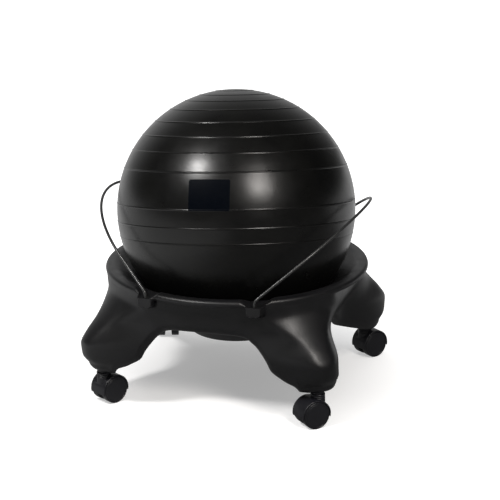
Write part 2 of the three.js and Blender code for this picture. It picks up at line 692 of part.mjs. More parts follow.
// Finishes
const finish = (color, roughness, metalness = 0) => new THREE.MeshStandardMaterial({
  color, roughness, metalness,
});
const ballVinyl = finish(0x151516, 0.42);
const basePlastic = finish(0x1b1b1e, 0.5);
const casterNylon = finish(0x141416, 0.55);
const blackWire = finish(0x1a1b1b, 0.4, 0.5);
const bareSteel = finish(0x9a9a9c, 0.35, 1);
const plugPlastic = finish(0x1a1a1a, 0.5);

// Assembly
const chair = new THREE.Group();

function addPiece(group, name, geometry, material) {
  const mesh = new THREE.Mesh(geometry, material);
  mesh.name = name;
  group.add(mesh);
  return mesh;
}

addPiece(chair, 'base_shell', baseShell(), basePlastic);

const ballGroup = new THREE.Group();
ballGroup.position.set(0, 0, ballCentre);
const leanHeading = rad(BALL_TILT_AZIMUTH_DEG);
ballGroup.setRotationFromAxisAngle(
  new THREE.Vector3(-Math.sin(leanHeading), Math.cos(leanHeading), 0), rad(BALL_TILT_DEG));
addPiece(ballGroup, 'ball', ballShell(), ballVinyl);
addPiece(ballGroup, 'valve_plug', valvePlug(), plugPlastic);
chair.add(ballGroup);

addPiece(chair, 'side_hoop_right', wireHoop(1), blackWire);
addPiece(chair, 'side_hoop_left', wireHoop(-1), blackWire);

for (const { tag, x, y, swivelDeg } of CASTERS) {
  const mounting = new THREE.Group();
  mounting.position.set(x * casterReach, y * casterDepthReach, 0);
  addPiece(mounting, `caster_${tag}_socket`, casterSocket(), casterNylon);
  addPiece(mounting, `caster_${tag}_stem`, casterStem(), bareSteel);
  const caster = new THREE.Group();
  caster.rotation.z = rad(swivelDeg);
  addPiece(caster, `caster_${tag}_hood`, casterHood(), casterNylon);
  addPiece(caster, `caster_${tag}_axle`, casterAxle(), bareSteel);
  addPiece(caster, `caster_${tag}_wheel_a`, casterWheel(1), casterNylon);
  addPiece(caster, `caster_${tag}_wheel_b`, casterWheel(-1), casterNylon);
  mounting.add(caster);
  chair.add(mounting);
}

export default chair;
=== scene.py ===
import math

import bmesh
import bpy
import numpy as np
from mathutils import Matrix, Vector


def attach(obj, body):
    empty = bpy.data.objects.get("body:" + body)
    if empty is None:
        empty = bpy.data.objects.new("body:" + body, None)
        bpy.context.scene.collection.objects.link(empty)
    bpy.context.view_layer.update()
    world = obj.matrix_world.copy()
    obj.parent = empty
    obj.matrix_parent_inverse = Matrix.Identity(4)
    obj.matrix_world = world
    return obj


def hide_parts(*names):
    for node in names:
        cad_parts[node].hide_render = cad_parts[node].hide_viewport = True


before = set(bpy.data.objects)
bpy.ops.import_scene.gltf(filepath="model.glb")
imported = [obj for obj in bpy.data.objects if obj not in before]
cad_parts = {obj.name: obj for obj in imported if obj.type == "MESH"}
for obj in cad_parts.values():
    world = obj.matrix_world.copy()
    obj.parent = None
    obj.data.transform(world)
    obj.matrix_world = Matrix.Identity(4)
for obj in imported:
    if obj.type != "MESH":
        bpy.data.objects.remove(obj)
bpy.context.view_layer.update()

# Sizes are in millimetres and the meshes are written in metres
MM = 0.001
EIGHTH = math.pi / 4

# Ball, leaning about its own middle
BALL_RADIUS = 250.0
BALL_CENTRE = 380.0
BALL_TILT = math.radians(11.6)
BALL_LEAN_HEADING = math.radians(108.3)
BALL_WALL = 1.6
BALL_HOLE = 4.8
BALL_SEGMENTS = 240
RING_LATITUDES = (81.0, 73.0, 65.7, 57.4, 48.4, 39.5, 30.8, 21.3, 3.9, -4.7, -12.1)
RING_HEIGHT = 0.75
RING_HALF = 2.0
RING_ROWS = (-2.4, -1.9, -1.4, -0.9, -0.4, 0, 0.4, 0.9, 1.4, 1.9, 2.4)
RING_CLEAR_DEGREES = 0.8
BALL_ROWS = (-88.0, 89.9, 2.0)
INSIDE_ROWS = (84, -86.1, -5.0)
BALL_BODY = BALL_RADIUS - RING_HEIGHT

# Valve plug: radius and height above the seat of its flange
PLUG_GAP = 0.3
PLUG_PROFILE = [(0, -1.2), (3.2, -1.2), (3.6, -1.8), (8.6, -1.8), (9.6, -1.2), (10.0, -0.5), (9.8, 0),
                (4.5, 0), (4.5, 5), (4.1, 5.6), (4.5, 6.2), (4.5, 11), (4.1, 11.6), (4.5, 12.2),
                (4.5, 16), (2.9, 18), (0, 18)]

# Rim and bowl
RIM_RADIUS = 276.6
RIM_TOP = 267.5
RIM_INNER = 248.0
RIM_ROUND = 4.0
RIM_LEDGE = 9.0
LIP_THICKNESS = 14.0
LIP_BOTTOM = RIM_TOP - LIP_THICKNESS
LIP_FILLET = 3.0
LIP_MERGE = 2.0
BOWL_WALL = 4.0
BOWL_FLOOR = 125.0
BOWL_ROUNDS = ((1, 6.0), (2, 9.0), (3, 3.0), (4, 5.0))
SEAT_SLOPE = math.radians(45)
SEAT_GAP = 0.6
FLARE_DROP = 31.0
DRAIN_RADIUS = 74.0

# Legs: how far they reach and how round their noses are, from the rim down to the feet
SHELL_WALL = 4.0
PANEL_HALF = 245.0
PANEL_FLARE = 27.0
FLARE_START, FLARE_END = 0.3, 0.67
NOSE_BLEND = 0.9
NOSE_FILLET = 6.0
LEG_REACH = 367.0
FOOT_NOSE_RADIUS = 52.0
FOOT_BOTTOM = 74.0
LEG_DROP = LIP_BOTTOM - FOOT_BOTTOM
LEG_REACH_TABLE = [(0, 0), (0.1, 0.045), (0.235, 0.234), (0.374, 0.506), (0.514, 0.792),
                   (0.67, 1), (0.793, 0.987), (0.894, 0.87), (1, 0.66)]
NOSE_RADIUS_TABLE = [(0, 1), (0.15, 0.473), (0.318, 0.224), (0.486, 0.1), (0.67, 0.033),
                     (0.85, 0.008), (1, 0)]

# Arches between the legs: the side panels lean in and come down lower
EDGE_ROUND = 16.0
EDGE_LIP = math.radians(80)
ARCH_TOP = 180.0
ARCH_HALF = 70.0
ARCH_FOOT_HALF = 212.0
ARCH_TABLE = [(0, 0), (0.106, 0.02), (0.176, 0.055), (0.246, 0.118), (0.317, 0.19), (0.4, 0.318),
              (0.465, 0.445), (0.542, 0.636), (0.606, 0.7), (0.669, 0.745), (0.775, 0.818),
              (0.915, 0.89), (1, 1)]
SIDE_ARCH_TOP = 150.0
SIDE_ARCH_HALF = 10.0
SIDE_ARCH_TABLE = [(0, 0), (0.1, 0.09), (0.34, 0.38), (0.53, 0.57), (0.67, 0.72), (0.85, 0.9), (1, 1)]
SIDE_RECESS = 35.0
RECESS_START, RECESS_END = 0.15, 0.55

# Saddles and bosses for the ends of the hoops
NOTCH_X = 114.0
NOTCH_DEPTH = 10.0
NOTCH_FLOOR = RIM_TOP - NOTCH_DEPTH
NOTCH_EASE = (10.0, 31.0)
NOTCH_SINK = 0.96
NOTCH_BEYOND_Y = 200
NOTCH_DEGREES = 23.7
BOSS_HALF = 19.0
BOSS_HEIGHT = 25.0
BOSS_ROUND = 12.0
BOSS_FRONT = 264.0
BOSS_EASE = (-5.5, 1.5)
WIRE_BORE = 3.3
WIRE_BORE_BOTTOM, WIRE_BORE_TOP = 236, 266

# Feet: a rib to each, a bored boss for the stem and a pad
CASTER_X = 230.0
CASTER_Y = 203.0
RIB_HALF = 2.0
RIB_TOP = 205.0
RIB_BOTTOM = 184.0
RIB_REACH = 60
SOCKET_BORE = 9.3
SOCKET_DEPTH = 36.0
FLANGE_BORE = 13.3
FLANGE_DEPTH = 2
BOSS_RADIUS = 15.0
PAD_RADIUS = 26.0
PAD_THICKNESS = 6
BOSS_TOP = FOOT_BOTTOM + SOCKET_DEPTH + SHELL_WALL

# Hoops: each lies in a plane that leans out from the two holes
WIRE_RADIUS = 2.95
WIRE_END_X, WIRE_END_Y, WIRE_END_Z = 114.0, 256.0, 269.0
WIRE_TILT = math.radians(40)
WIRE_ARC = 238.0
WIRE_OUT = 30.2
WIRE_RISE = (BALL_RADIUS + WIRE_OUT - WIRE_END_X) / math.cos(WIRE_TILT)
WIRE_BEND = 8.0
WIRE_STUB = 32.0
WIRE_CHAMFER = 0.7
WIRE_TIP_SHARE = 0.75
BEND_STEPS = 8
ARC_STEPS = 96

# Casters, about their own swivel axis, wheels trailing along +X
TRAIL = 14.0
WHEEL = 28.5
WHEEL_GAP = 0.6
WHEEL_WIDTH = 16.0
CAP_THICKNESS = 2
HOOD_OUT, HOOD_IN = 32.9, 29.9
HOOD_HALF = 23.0
HOOD_CROWN = 0.8
HOOD_LIP = math.radians(12)
HOOD_STEPS = 72
HOOD_ROUNDS = {0: 2.0, 1: 2.0, 2: 0.9, 7: 0.9}
HOOD_PINCH, HOOD_PINCH_STEPS = 0.5, 2.0
WEB_HALF = 7.0
HUB_RADIUS = 7.2
WHEEL_ROOM = 0.3
ROOM_HALF = 27
AXLE = 3.0
AXLE_BORE = 3.3
AXLE_CHAMFER = 0.5
NECK_RADIUS = 15
NECK_BOTTOM = 42
NECK_TOP = 68.0
NECK_CHAMFER = (14.3, 67.2)
GROOVE_START = 56.2
GROOVE_LEVELS = (57.0, 60.4, 63.8)
GROOVE_PROFILE = [(14.0, 0), (14.0, 0.8), (NECK_RADIUS, 1.4), (NECK_RADIUS, 2.4)]
SKIRT_RADIUS, SKIRT_BORE = 12.0, 9.7
COLLAR_BOTTOM, COLLAR_TOP = 68.6, 73.4
TAIL_BORE = 5.1
TAIL_BORE_BOTTOM = 53.0

# Turned pieces: radius, and height from the level that each list names
WHEEL_INSIDE = [(AXLE_BORE, 0), (8, 0), (8.6, 1.2), (22.5, 1.2), (23.2, 0), (WHEEL, 0)]
WHEEL_OUTSIDE = [(WHEEL, -0.6), (26.6, 0), (25.4, 0), (24.9, -0.7), (24.3, -0.7), (23.6, -0.2),
                 (12.0, -0.35), (0, -0.1), (0, -CAP_THICKNESS), (AXLE_BORE, -CAP_THICKNESS)]
TREAD_CORNERS = (5, 6)
TREAD_ROUND, SMALL_ROUND = 1.8, 0.35
STEM_BELOW_COLLAR = [(0, -15), (4.4, -15), (4.8, -14.6), (4.8, 0), (8.4, 0), (9.0, 0.6)]
STEM_ABOVE_COLLAR = [(9.0, -0.6), (8.4, 0), (5.5, 0), (5.5, 24), (5.0, 24.6), (5.0, 26.6), (5.5, 27.2),
                     (5.5, 30), (4.0, 32), (0, 32)]
SOCKET_PROFILE = [(5.8, 0), (12.5, 0), (13.0, 0.5), (13.0, 1.2), (12.5, 1.7), (9.0, 1.7), (9.0, 35.2),
                  (8.4, 35.7), (5.8, 35.7)]

# Which way each caster points, in degrees
CORNERS = {"front_right": (1, -1, -136), "front_left": (-1, -1, 58),
           "rear_right": (1, 1, 52), "rear_left": (-1, 1, 107)}

# Bare panel on the ball: its outward, sideways and upward directions
PATCH_OUT = (0.06065, -0.92412, 0.37726)
PATCH_EAST = (0.99526, 0.08476, 0.04763)
PATCH_NORTH = (-0.07599, 0.37258, 0.92488)
PATCH_HALF_WIDTH, PATCH_HALF_HEIGHT, PATCH_CORNER = 42.0, 31.5, 4.0

# Rows of the base's outline from the lip down, inside and up again
LIP_ROWS = 12
FILLET_ROWS = 5
SKIN_ROWS = 30
EDGE_ROWS = 8
LINER_ROWS = 12
FLARE_ROWS = 4
CONE_ROWS = 12
UNDER_BOWL_ROWS = FLARE_ROWS + CONE_ROWS + 1
BOSS_ROWS = 26
INNER_EDGE_ROWS = 5
ROW_CREEP = 0.05
SKIN_START = LIP_BOTTOM - LIP_FILLET - 0.3
CONE_START_DROP = 6
WALL_EDGE = ((1.0, 0.3), (0.6, 2.0))
LONGEST_BOWL_STEP = 9.0

# Headings of the sweep: how many, and in degrees how far and how close they go finer at a saddle
COARSE_HEADINGS = 360
FINE_SPAN, FINE_STEP, CLOSEST = 9.5, 0.25, 0.12

# The space inside the skin, which trims what is put into the legs
SPACE_ROWS = 16
SPACE_EDGE_ROWS = 6
SOLE_SHARE = 0.82
SOLE_LIFT = 0.2


# Mesh helpers
def mesh_object(name, points, faces, sharp=math.radians(38)):
    """A smooth-shaded mesh from points in millimetres."""
    mesh = bpy.data.meshes.new(name)
    mesh.from_pydata((np.asarray(points) * MM).tolist(), [], faces)
    mesh.validate()
    mesh.shade_smooth()
    mesh.set_sharp_from_angle(angle=sharp)
    obj = bpy.data.objects.new(name, mesh)
    bpy.context.scene.collection.objects.link(obj)
    return obj


def grid_faces(columns, rows, closed_rows=False):
    """Faces of a grid whose columns run all the way round."""
    faces = []
    last_row = rows if closed_rows else rows - 1
    for i in range(columns):
        here, there = i * rows, ((i + 1) % columns) * rows
        for j in range(last_row):
            k = (j + 1) % rows
            faces.append((here + j, here + k, there + k, there + j))
    return faces


def lathe(profile, segments=64):
    """Points and faces of a closed turned body. The profile runs up its outside; axis is Z."""
    points, faces, rings = [], [], []
    for r, z in profile:
        if r < 1e-6:
            rings.append([len(points)])
            points.append((0.0, 0.0, z))
            continue
        ring = []
        for i in range(segments):
            a = 2 * math.pi * i / segments
            ring.append(len(points))
            points.append((r * math.cos(a), r * math.sin(a), z))
        rings.append(ring)
    closed = len(rings[0]) > 1
    pairs = list(zip(rings, rings[1:] + ([rings[0]] if closed else [])))
    for low, high in pairs:
        if len(low) == 1 and len(high) == 1:
            continue
        for i in range(segments):
            k = (i + 1) % segments
            if len(low) == 1:
                faces.append((low[0], high[k], high[i]))
            elif len(high) == 1:
                faces.append((low[i], low[k], high[0]))
            else:
                faces.append((low[i], low[k], high[k], high[i]))
    return np.array(points), faces


def raised(profile, level):
    return [(r, level + z) for r, z in profile]


def round_corner(before, corner, after, radius, steps=4):
    """The points that round one corner off, as far as its sides allow."""
    p, q, s = Vector(before), Vector(corner), Vector(after)
    reach = min(radius, (p - q).length * 0.45, (s - q).length * 0.45)
    a = q + (p - q).normalized() * reach
    b = q + (s - q).normalized() * reach
    out = []
    for step in range(steps + 1):
        t = step / steps
        point = a * (1 - t) ** 2 + q * 2 * t * (1 - t) + b * t * t
        out.append((point.x, point.y))
    return out


def joined(name, bodies, sharp=math.radians(38)):
    """One object from several (points, faces) bodies."""
    points, faces, base = [], [], 0
    for body_points, body_faces in bodies:
        points.append(np.asarray(body_points))
        faces += [tuple(v + base for v in face) for face in body_faces]
        base += len(body_points)
    return mesh_object(name, np.vstack(points), faces, sharp)


def placed(body, turn=0.0, shift=(0, 0, 0)):
    points, faces = body
    c, s = math.cos(turn), math.sin(turn)
    turned = points @ np.array([[c, s, 0], [-s, c, 0], [0, 0, 1]])
    return turned + np.array(shift), faces


def cut(obj, tool, operation):
    """Boolean with another object, which is used up."""
    step = obj.modifiers.new("cut", "BOOLEAN")
    step.object = tool
    step.operation = operation
    step.solver = "MANIFOLD"
    mesh = bpy.data.meshes.new_from_object(obj.evaluated_get(bpy.context.evaluated_depsgraph_get()))
    obj.modifiers.clear()
    old = obj.data
    obj.data = mesh
    bpy.data.meshes.remove(old)
    bpy.data.objects.remove(tool)
    return obj


def follow(table, t):
    """Monotone cubic through a table, for an array of places."""
    xs, ys = np.array(table, float).T
    t = np.clip(t, xs[0], xs[-1])
    step = np.diff(xs)
    slope = np.diff(ys) / step
    bend = np.empty_like(ys)
    bend[0], bend[-1] = slope[0], slope[-1]
    product = slope[:-1] * slope[1:]
    total = slope[:-1] + slope[1:]
    bend[1:-1] = np.where(product <= 0, 0, 2 * product / np.where(total == 0, 1, total))
    i = np.clip(np.searchsorted(xs, t, side="right") - 1, 0, len(step) - 1)
    h = step[i]
    u = (t - xs[i]) / h
    return ((1 + 2 * u) * (1 - u) ** 2 * ys[i] + u * (1 - u) ** 2 * h * bend[i]
            + u * u * (3 - 2 * u) * ys[i + 1] + u * u * (u - 1) * h * bend[i + 1])


def smoothstep(x, low, high):
    t = np.clip((x - low) / (high - low), 0, 1)
    return t * t * (3 - 2 * t)


def soft_min(a, b, width):
    h = np.clip(0.5 + 0.5 * (b - a) / width, 0, 1)
    return b + (a - b) * h - width * h * (1 - h)


# Base: one moulded shell as a closed loop of outline swept round the chair
def shell_radius(turn, z, beside):
    """Radius of the outer skin; `turn` is the angle from a panel's middle, `beside` marks side panels."""
    drop = np.clip((LIP_BOTTOM - z) / LEG_DROP, 0, 1)
    tip = RIM_RADIUS + (LEG_REACH - RIM_RADIUS) * follow(LEG_REACH_TABLE, drop)
    nose_r = FOOT_NOSE_RADIUS + (RIM_RADIUS - FOOT_NOSE_RADIUS) * follow(NOSE_RADIUS_TABLE, drop)
    centre = tip - nose_r
    side = centre * math.sqrt(0.5)
    flare = PANEL_FLARE * smoothstep(drop, FLARE_START, FLARE_END)
    at_nose = np.minimum(side + nose_r, PANEL_HALF + flare)
    arch_turn = math.atan2(ARCH_HALF, PANEL_HALF)
    mix = smoothstep(turn, arch_turn, EIGHTH * NOSE_BLEND)
    reach = PANEL_HALF - SIDE_RECESS * beside * smoothstep(drop, RECESS_START, RECESS_END)
    panel = (reach + (at_nose - reach) * mix) / np.cos(turn)
    off = centre * np.sin(EIGHTH - turn)
    nose = centre * np.cos(EIGHTH - turn) + np.sqrt(np.maximum(nose_r ** 2 - off ** 2, 0))
    lowest = np.arctan2(side, side + nose_r)
    nose = np.where(turn < lowest, (side + nose_r) / np.cos(turn), nose)
    return soft_min(panel, nose, NOSE_FILLET)


def edge_height(turn, beside):
    """Height of the shell's bottom edge."""
    high = np.where(beside, SIDE_ARCH_TOP, ARCH_TOP)
    half = np.where(beside, SIDE_ARCH_HALF, ARCH_HALF)
    arch_turn = np.arctan2(half, PANEL_HALF)
    foot_turn = math.atan2(ARCH_FOOT_HALF, PANEL_HALF + PANEL_FLARE)
    flare = PANEL_FLARE * smoothstep(turn, arch_turn, foot_turn)
    across = (PANEL_HALF + flare) * np.tan(turn)
    along = (across - half) / (ARCH_FOOT_HALF - half)
    share = np.where(beside, follow(SIDE_ARCH_TABLE, along), follow(ARCH_TABLE, along))
    return high - (high - FOOT_BOTTOM) * share


def cone_radius(z, offset=0.0):
    """Radius of the bowl's seat, which touches the ball along a ring, or of a face behind it."""
    reach = BALL_RADIUS + SEAT_GAP
    seat = BALL_CENTRE - reach * math.cos(SEAT_SLOPE)
    return (reach * math.sin(SEAT_SLOPE) + (z - seat) / math.tan(SEAT_SLOPE)
            + offset / math.sin(SEAT_SLOPE))


FLARE_LOW = RIM_TOP - FLARE_DROP
FLARE_HIGH = RIM_TOP - RIM_ROUND
FLARE_RUN = RIM_INNER - cone_radius(FLARE_LOW)
FLARE_RISE = FLARE_HIGH - FLARE_LOW


def flare_radius(z, offset=0.0):
    """Radius of the bowl above its seat."""
    length = math.hypot(FLARE_RUN, FLARE_RISE)
    return (cone_radius(FLARE_LOW) + (z - FLARE_LOW) * FLARE_RUN / FLARE_RISE
            + offset * length / FLARE_RISE)


def panel_turns(headings):
    """The angle from the nearest panel's middle, and whether that panel is at the side."""
    turn = np.abs((headings + EIGHTH) % (2 * EIGHTH) - EIGHTH)
    return turn, np.abs(np.cos(headings)) > math.sqrt(0.5)


def closer(y, drop):
    """Front to back the legs stand closer than side to side, the more so the lower."""
    return y * (1 + (CASTER_Y / CASTER_X - 1) * drop)


def sweep_headings():
    """Headings round the chair, closer together where the hoops' saddles are."""
    marks = np.linspace(0, 2 * math.pi, COARSE_HEADINGS + 1)[:-1]
    fine = []
    for middle in (90 - NOTCH_DEGREES, 90 + NOTCH_DEGREES, 270 - NOTCH_DEGREES, 270 + NOTCH_DEGREES):
        fine += list(np.radians(np.arange(middle - FINE_SPAN, middle + FINE_SPAN, FINE_STEP)))
    headings = np.sort(np.concatenate([marks, np.array(fine) % (2 * math.pi)]))
    keep = np.concatenate([[True], np.diff(headings) > math.radians(CLOSEST)])
    return headings[keep]


def bowl_profile():
    """The bowl from the drain's edge over floor, seat and flare to the top of the rim."""
    corners = [(DRAIN_RADIUS, BOWL_FLOOR), (cone_radius(BOWL_FLOOR), BOWL_FLOOR),
               (cone_radius(FLARE_LOW), FLARE_LOW), (RIM_INNER, FLARE_HIGH),
               (RIM_INNER + RIM_LEDGE, RIM_TOP), (RIM_RADIUS - LIP_THICKNESS / 2, RIM_TOP)]
    smooth = [corners[0]]
    for i, radius in BOWL_ROUNDS:
        smooth += round_corner(corners[i - 1], corners[i], corners[i + 1], radius, 6)
    smooth.append(corners[-1])
    dense = []
    for (r0, z0), (r1, z1) in zip(smooth, smooth[1:]):
        pieces = max(1, int(math.hypot(r1 - r0, z1 - z0) / LONGEST_BOWL_STEP))
        dense += [(r0 + (r1 - r0) * k / pieces, z0 + (z1 - z0) * k / pieces) for k in range(pieces)]
    return dense


def shell_outline(turn, beside):
    """The closed outline at every heading: arrays (columns, rows) of radius and height."""
    n = len(turn)
    r_rows, z_rows = [], []

    def add_row(r, z):
        r_rows.append(np.broadcast_to(np.asarray(r, float), (n,)).copy())
        z_rows.append(np.broadcast_to(np.asarray(z, float), (n,)).copy())

    edge = edge_height(turn, beside)
    bend = edge + EDGE_ROUND
    for r, z in bowl_profile():
        add_row(r, z)
    bowl_rows = len(r_rows)
    # rolled lip, merging into the legs
    lip = LIP_THICKNESS / 2
    skin_top = shell_radius(turn, np.full(n, LIP_BOTTOM), beside)
    for k in range(LIP_ROWS + 1):
        a = math.pi / 2 - math.pi * k / LIP_ROWS
        ring = RIM_RADIUS - lip + lip * math.cos(a)
        merged = -soft_min(-np.full(n, ring), -skin_top, LIP_MERGE) if a <= 0 else ring
        add_row(np.minimum(merged, RIM_RADIUS), RIM_TOP - lip + lip * math.sin(a))
    under = np.maximum(RIM_RADIUS - lip, skin_top)
    for k in range(1, FILLET_ROWS + 1):
        a = (math.pi / 2) * k / FILLET_ROWS
        z = LIP_BOTTOM - LIP_FILLET * (1 - math.cos(a)) - ROW_CREEP * k
        skin = shell_radius(turn, np.full(n, z), beside)
        add_row(skin + (under - skin_top) * (1 - math.sin(a)) * (skin_top < under), z)
    # outer skin down to the rounded bottom edge
    for k in range(1, SKIN_ROWS + 1):
        z = SKIN_START + (bend - SKIN_START) * k / SKIN_ROWS
        add_row(shell_radius(turn, z, beside), z)
    out = shell_radius(turn, bend, beside) - EDGE_ROUND
    for k in range(1, EDGE_ROWS + 1):
        a = EDGE_LIP * k / EDGE_ROWS
        add_row(out + EDGE_ROUND * math.cos(a), bend - EDGE_ROUND * math.sin(a))
    # the wall's lower lip, then the inside of the skin up to the bowl
    inner_round = EDGE_ROUND - SHELL_WALL
    for outward, up in WALL_EDGE:
        add_row(out + outward, edge + up)
    for k in range(INNER_EDGE_ROWS):
        a = EDGE_LIP * (1 - k / INNER_EDGE_ROWS)
        add_row(out + inner_round * math.cos(a), bend - inner_round * math.sin(a))
    inner_top = LIP_BOTTOM - SHELL_WALL
    for k in range(LINER_ROWS + 1):
        z = bend + (inner_top - bend) * k / LINER_ROWS
        add_row(shell_radius(turn, z, beside) - SHELL_WALL, z)
    for z in np.linspace(inner_top, FLARE_LOW, FLARE_ROWS):
        add_row(flare_radius(z, BOWL_WALL), z)
    for z in np.linspace(FLARE_LOW - CONE_START_DROP, BOWL_FLOOR - BOWL_WALL, CONE_ROWS):
        add_row(cone_radius(z, BOWL_WALL), z)
    add_row(DRAIN_RADIUS, BOWL_FLOOR - BOWL_WALL)
    return np.stack(r_rows, 1), np.stack(z_rows, 1), bowl_rows


def base_shell():
    headings = sweep_headings()
    turn, beside = panel_turns(headings)
    r, z, bowl_rows = shell_outline(turn, beside)
    x = r * np.cos(headings)[:, None]
    y = r * np.sin(headings)[:, None]
    # rounded saddles in the rim where the hoops go in
    aside = np.abs(np.abs(x) - NOTCH_X)
    front = np.abs(y) > NOTCH_BEYOND_Y
    dip = (1 - smoothstep(aside, *NOTCH_EASE)) * front
    above = z > NOTCH_FLOOR
    z = np.where(above, NOTCH_FLOOR + (z - NOTCH_FLOOR) * (1 - NOTCH_SINK * dip), z)
    # bosses below the saddles, standing proud of the panel
    low = NOTCH_FLOOR - BOSS_HEIGHT
    px = np.maximum(aside - (BOSS_HALF - BOSS_ROUND), 0)
    pz = np.maximum(low + BOSS_ROUND - z, 0)
    distance = np.hypot(px, pz) - BOSS_ROUND
    rows = np.arange(r.shape[1])[None, :]
    outer_rows = (rows >= bowl_rows + 2) & (rows < bowl_rows + LIP_ROWS + 1 + FILLET_ROWS + BOSS_ROWS)
    proud = (1 - smoothstep(distance, *BOSS_EASE)) * outer_rows * front
    # legs stand closer front to back; the bowl stays round and the bosses stay where the wires need them
    bowl = (rows < bowl_rows) | (rows >= r.shape[1] - UNDER_BOWL_ROWS)
    y = closer(y, np.where(bowl, 0, np.clip((LIP_BOTTOM - z) / LEG_DROP, 0, 1)))
    y = np.where(np.abs(y) < BOSS_FRONT, np.sign(y) * (np.abs(y) + (BOSS_FRONT - np.abs(y)) * proud), y)
    points = np.stack([x, y, z], -1).reshape(-1, 3)
    return mesh_object("base_shell_skin", points, grid_faces(len(headings), r.shape[1], True))


def outer_body():
    """The space inside the skin, drawn in by half a wall, to trim the ribs and bosses with."""
    headings = np.radians(np.arange(0, 360, 1.0))
    turn, beside = panel_turns(headings)
    edge = edge_height(turn, beside)
    bend = edge + EDGE_ROUND
    inset = SHELL_WALL / 2
    lid = LIP_BOTTOM - inset
    sole = FOOT_BOTTOM + SOLE_LIFT
    r_rows, z_rows = [], []
    for k in range(SPACE_ROWS + 1):
        z = lid + (bend - lid) * k / SPACE_ROWS
        r_rows.append(shell_radius(turn, z, beside) - inset)
        z_rows.append(z)
    out = shell_radius(turn, bend, beside) - EDGE_ROUND
    for k in range(1, SPACE_EDGE_ROWS + 1):
        a = math.pi / 2 * k / SPACE_EDGE_ROWS
        r_rows.append(out + (EDGE_ROUND - inset) * math.cos(a))
        z_rows.append(np.maximum(bend - EDGE_ROUND * math.sin(a), edge + SOLE_LIFT))
    r_rows.append(out * SOLE_SHARE)
    z_rows.append(np.full_like(turn, sole))
    r, z = np.stack(r_rows, 1), np.stack(z_rows, 1)
    x, y = r * np.cos(headings)[:, None], r * np.sin(headings)[:, None]
    y = closer(y, np.clip((LIP_BOTTOM - z) / LEG_DROP, 0, 1))
    rows = r.shape[1]
    points = np.stack([x, y, z], -1).reshape(-1, 3)
    faces = grid_faces(len(headings), rows)
    count = len(points)
    points = np.vstack([points, [0, 0, lid], [0, 0, sole]])
    for i in range(len(headings)):
        k = (i + 1) % len(headings)
        faces.append((count, i * rows, k * rows))
        faces.append((count + 1, k * rows + rows - 1, i * rows + rows - 1))
    return mesh_object("outer_space", points, faces)


def slab_body(outline, half):
    """A flat plate whose outline is drawn along X and up Z, from -half to +half along Y."""
    n = len(outline)
    points = [(x, -half, z) for x, z in outline] + [(x, half, z) for x, z in outline]
    faces = [tuple(range(n)), tuple(range(2 * n - 1, n - 1, -1))]
    faces += [((i + 1) % n, i, i + n, (i + 1) % n + n) for i in range(n)]
    return np.array(points, float), faces


def disc_body(radius, bottom, top, at, segments=48):
    body = lathe([(0, bottom), (radius, bottom), (radius, top), (0, top)], segments)
    return placed(body, 0, (*at, 0))


def finish_base(base):
    """Adds the ribs, stem bosses and foot pads inside the legs, and opens the bores."""
    fill = None
    for sx, sy, _ in CORNERS.values():
        at = (sx * CASTER_X, sy * CASTER_Y)
        reach = math.hypot(*at)
        rib = [(cone_radius(RIB_TOP, 2), RIB_TOP), (cone_radius(FLARE_LOW, 2), FLARE_LOW),
               (flare_radius(LIP_BOTTOM, 2), LIP_BOTTOM + 1),
               (reach + RIB_REACH, LIP_BOTTOM + 1), (reach + RIB_REACH, FOOT_BOTTOM + 1),
               (reach - BOSS_RADIUS, FOOT_BOTTOM + 1),
               (reach - BOSS_RADIUS - PAD_THICKNESS, FOOT_BOTTOM + SOCKET_DEPTH),
               (cone_radius(RIB_TOP, 2), RIB_BOTTOM)]
        bodies = [placed(slab_body(rib[::-1], RIB_HALF), math.atan2(at[1], at[0])),
                  disc_body(BOSS_RADIUS, FOOT_BOTTOM - 1, BOSS_TOP, at),
                  disc_body(PAD_RADIUS, FOOT_BOTTOM - 1, FOOT_BOTTOM + PAD_THICKNESS, at)]
        for body in bodies:
            piece = joined("fill", [body])
            fill = piece if fill is None else cut(fill, piece, "UNION")
    fill = cut(fill, outer_body(), "INTERSECT")
    base = cut(base, fill, "UNION")
    bore = lathe([(0, FOOT_BOTTOM - 5), (FLANGE_BORE, FOOT_BOTTOM - 5),
                  (FLANGE_BORE, FOOT_BOTTOM + FLANGE_DEPTH), (SOCKET_BORE, FOOT_BOTTOM + FLANGE_DEPTH),
                  (SOCKET_BORE, BOSS_TOP - SHELL_WALL), (0, BOSS_TOP - SHELL_WALL)], 48)
    holes = []
    for sx, sy, _ in CORNERS.values():
        holes.append(placed(bore, 0, (sx * CASTER_X, sy * CASTER_Y, 0)))
        holes.append(disc_body(WIRE_BORE, WIRE_BORE_BOTTOM, WIRE_BORE_TOP,
                               (sx * NOTCH_X, sy * WIRE_END_Y), 24))
    return cut(base, joined("holes", holes), "DIFFERENCE")


# Ball
def ball_body():
    rows = list(np.arange(*BALL_ROWS))
    for ring in RING_LATITUDES:
        rows = [row for row in rows if abs(row - ring) > RING_CLEAR_DEGREES]
        rows += [ring + d / BALL_BODY * 180 / math.pi for d in RING_ROWS]
    rows.sort()
    inside = BALL_BODY - BALL_WALL
    profile = [(BALL_HOLE, -inside), (BALL_HOLE, -math.sqrt(BALL_BODY ** 2 - BALL_HOLE ** 2))]
    for row in rows:
        away = min(abs(row - ring) for ring in RING_LATITUDES) * math.pi / 180 * BALL_BODY
        lift = RING_HEIGHT * math.cos(math.pi / 2 * min(away / RING_HALF, 1)) ** 1.5
        radius = BALL_BODY + lift
        profile.append((radius * math.cos(math.radians(row)), radius * math.sin(math.radians(row))))
    profile += [(0, BALL_BODY), (0, inside)]
    for row in np.arange(*INSIDE_ROWS):
        a = math.radians(row)
        profile.append((inside * math.cos(a), inside * math.sin(a)))
    return lathe(profile, BALL_SEGMENTS)


